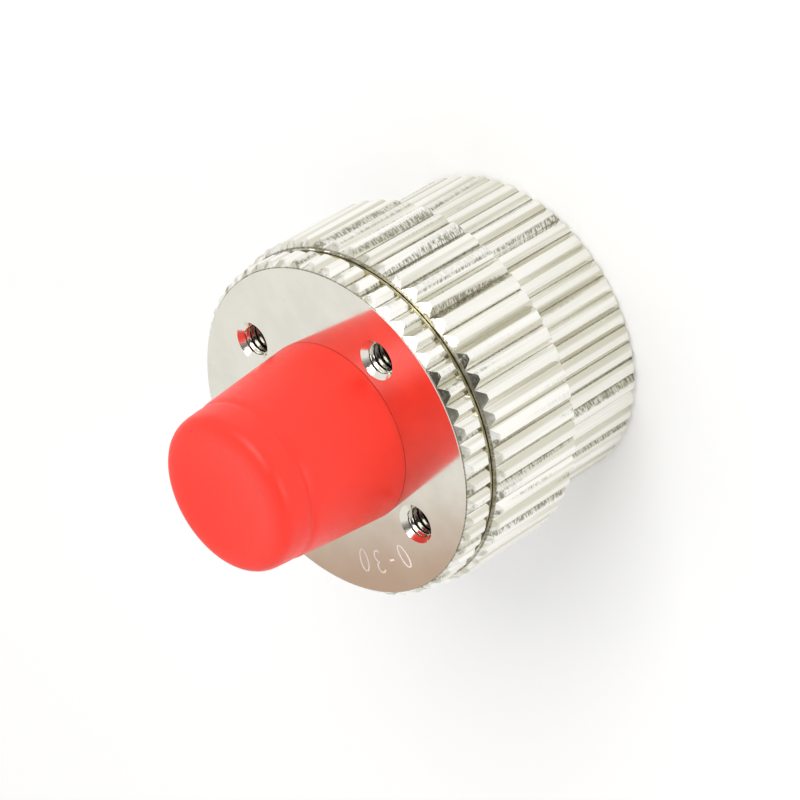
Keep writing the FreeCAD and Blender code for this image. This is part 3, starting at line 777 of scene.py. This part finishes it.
def port_part(tip, first, last, angles):
    """Thread and bore of a port between two heights, then the places up each of its two open sides.

    The rows follow the helix and stop flat at both heights."""
    low, high = sorted((first, last))
    rise = FINE_PITCH / THREAD_STEPS
    steps = range(math.floor((low - tip) / rise) - 2 * THREAD_STEPS, math.ceil((high - tip) / rise) + 1)
    columns = [[(a, min(high, max(low, tip + k * rise + FINE_PITCH * a / math.tau))) for k in steps]
               for a in angles]
    sheets = [standing(net([[port_outside(a, z, tip) for a, z in column] for column in columns], "port")),
              standing(net([[slotted(a, PORT_BORE, z) for a, z in column] for column in columns], "port"))]
    return sheets, [sorted(set(columns[j])) for j in (0, -1)]


def port_walls(tip, inward, thread_end):
    """Thread and bore of a port, with the key slot cut through both from the tip."""
    key_floor = tip + inward * KEY_DEPTH
    sheets, slot_sides = port_part(tip, tip, key_floor, PORT_ARC)
    sheets += port_part(tip, key_floor, thread_end, PORT_ARC + SLOT_ARC[1:])[0]
    sheets += [across(places, tip) for places in slot_sides]
    sheets += [across([(a, tip) for a in PORT_ARC], tip), across([(a, key_floor) for a in SLOT_ARC], tip)]
    return sheets


def dress_port(name, body, tip, inward, seat_depth, node):
    """A port with its M8 thread, its flange and the stepped seat of the sleeve holder."""
    seat = tip + inward * seat_depth
    thread_end = seat - inward * RELIEF_LENGTH
    section = [(PORT_RELIEF, -RELIEF_LENGTH), (PORT_RELIEF, 0),
               (PORT_FLANGE, 0), (PORT_FLANGE, FLANGE_LENGTH),
               (HOLDER_POCKET, FLANGE_LENGTH), (HOLDER_POCKET, HOLDER_FLOOR),
               (HOLDER_HOLE, HOLDER_FLOOR), (HOLDER_HOLE, HOLDER_HOLE_END),
               (PORT_BORE, HOLDER_HOLE_END), (PORT_BORE, -RELIEF_LENGTH)]
    angles = PORT_ARC + SLOT_ARC[1:-1]
    rows = [[port_outside(a, thread_end, tip) for a in angles]]
    rows += [[slotted(a, r, seat + inward * z) for a in angles] for r, z in section]
    make_piece(name, port_walls(tip, inward, thread_end) + [woven(rows, "port")], body, node)


# Dust cap


def rounded(corners, steps=8):
    """A line through (radius, height, rounding) corners, each with a rounding turned into a short curve."""
    line = []
    for i, (r, z, size) in enumerate(corners):
        here = Vector((r, z))
        if not size:
            line.append((r, z))
            continue
        back = (Vector(corners[i - 1][:2]) - here).normalized() * size
        on = (Vector(corners[i + 1][:2]) - here).normalized() * size
        for k in range(steps + 1):
            share = k / steps
            point = here + back * (1 - share) ** 2 + on * share ** 2
            line.append((point.x, point.y))
    return line


def dress_cap():
    """The soft cap: a tapered cup whose head is set in by a small step, with a dished end."""
    length = CAP_TOP - CAP_LOW
    bore, roof, bore_round = 4.05, length - 1.5, 0.15
    foot, shoulder, waist, bead, head = 5.52, 4.95, 4.81, 4.87, 4.73
    step = length - 2.1
    dish_radius, dish_depth, dish_steps = 3.5, 0.25, 12
    outside = rounded([(bore, 0, 0), (foot, 0, 0.06), (shoulder, step - 0.3, 0.25),
                       (waist, step + 0.02, 0.1), (bead, step + 0.32, 0.12), (head, length, 0.85),
                       (dish_radius, length, 0)])
    shares = [1 - k / dish_steps for k in range(1, dish_steps + 1)]
    dish = [(dish_radius * s, length - dish_depth * (1 - s ** 2)) for s in shares]
    inside = [(0.0, roof), (bore - bore_round, roof), (bore, roof - bore_round), (bore, 0)]
    section = [(r, CAP_LOW + z) for r, z in outside + dish + inside]
    make_piece("front_dust_cap_dressed", [lathe(section, "cap", CAP_COLUMNS)], "cap",
               "front_dust_cap", sharp=50)


paint_frame()
dress_flange()
dress_ring()
dress_rear()
dress_port("front_port_dressed", "front_body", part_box("front_port")[1].z / MM, -1, FRONT_SEAT_DEPTH,
           "front_port")
dress_port("rear_port_dressed", "rear_body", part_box("rear_port")[0].z / MM, 1, REAR_SEAT_DEPTH,
           "rear_port")
dress_cap()


# Stage: floor, light and camera. The camera's place is in millimetres and its turn in degrees

CAMERA_AT = (-54.80, -171.65, 150.51)
CAMERA_TURN = (-33.472, 42.501, -151.964)
CAMERA_LENS = 180


def lay_floor():
    """A white paper floor, a little lighter to the camera and in mirror images. Its reach is in metres."""
    reach = 4.0
    mesh = bpy.data.meshes.new("floor")
    corners = [(-reach, -reach, 0), (reach, -reach, 0), (reach, reach, 0), (-reach, reach, 0)]
    mesh.from_pydata(corners, [], [(0, 1, 2, 3)])
    floor = bpy.data.objects.new("floor", mesh)
    bpy.context.scene.collection.objects.link(floor)
    paper = Surface("floor_paper")
    path = paper.add("ShaderNodeLightPath")
    seen = paper.combine("MAXIMUM", path.outputs["Is Camera Ray"], path.outputs["Is Glossy Ray"])
    paper.paint(Base_Color=(0.88, 0.88, 0.88), Roughness=0.9, Specular_IOR_Level=0.1,
                Emission_Color=(1, 1, 1), Emission_Strength=paper.times(seen, 0.1))
    mesh.materials.append(paper.material)


def light_world():
    """An even pale studio with one darker patch behind the camera, and plain white to look at."""
    world = bpy.data.worlds.new("studio")
    world.use_nodes = True
    nodes, links = world.node_tree.nodes, world.node_tree.links
    nodes.clear()
    out = nodes.new("ShaderNodeOutputWorld")
    around = nodes.new("ShaderNodeBackground")
    around.inputs["Strength"].default_value = 0.89
    place = nodes.new("ShaderNodeTexCoord")
    toward = nodes.new("ShaderNodeVectorMath")
    toward.operation = "DOT_PRODUCT"
    toward.inputs[1].default_value = Vector(CAMERA_AT).normalized()
    ramp = nodes.new("ShaderNodeValToRGB")
    tones = ((0.72, (1.0, 0.995, 0.98, 1)), (0.96, (0.07, 0.066, 0.055, 1)))
    for stop, (position, colour) in zip(ramp.color_ramp.elements, tones):
        stop.position, stop.color = position, colour
    white = nodes.new("ShaderNodeBackground")
    white.inputs["Color"].default_value = (1, 1, 1, 1)
    path = nodes.new("ShaderNodeLightPath")
    mix = nodes.new("ShaderNodeMixShader")
    for source, target in (
        (place.outputs["Generated"], toward.inputs[0]),
        (toward.outputs["Value"], ramp.inputs["Fac"]),
        (ramp.outputs["Color"], around.inputs["Color"]),
        (path.outputs["Is Camera Ray"], mix.inputs[0]),
        (around.outputs[0], mix.inputs[1]),
        (white.outputs[0], mix.inputs[2]),
        (mix.outputs[0], out.inputs["Surface"]),
    ):
        links.new(source, target)
    bpy.context.scene.world = world


def hang_lamp(name, direction, distance, size, watts):
    """A soft square lamp that faces the middle of the part. Distance and size are in metres."""
    lamp = bpy.data.lights.new(name, "AREA")
    lamp.size = size
    lamp.energy = watts
    holder = bpy.data.objects.new(name, lamp)
    toward = Vector(direction).normalized()
    middle = Vector((0, 0, 0.012))
    holder.location = middle + toward * distance
    holder.rotation_euler = (-toward).to_track_quat("-Z", "Y").to_euler()
    bpy.context.scene.collection.objects.link(holder)


def set_camera():
    """The photo's view, turned and rolled so that the standing part lies as it does there."""
    camera = bpy.data.cameras.new("camera")
    camera.lens = CAMERA_LENS
    camera.sensor_width = 36
    camera.clip_start = 0.01
    camera.clip_end = 20
    holder = bpy.data.objects.new("camera", camera)
    holder.location = Vector(CAMERA_AT) * MM
    holder.rotation_euler = Euler([math.radians(a) for a in CAMERA_TURN], "XYZ")
    bpy.context.scene.collection.objects.link(holder)
    bpy.context.scene.camera = holder


lay_floor()
light_world()
hang_lamp("key", (0.3, -0.96, 0.92), 0.5, 0.3, 1.3)
hang_lamp("fill", (-0.7, -0.7, 0.25), 0.6, 0.25, 0.65)
set_camera()

bpy.context.scene.view_settings.view_transform = "Standard"
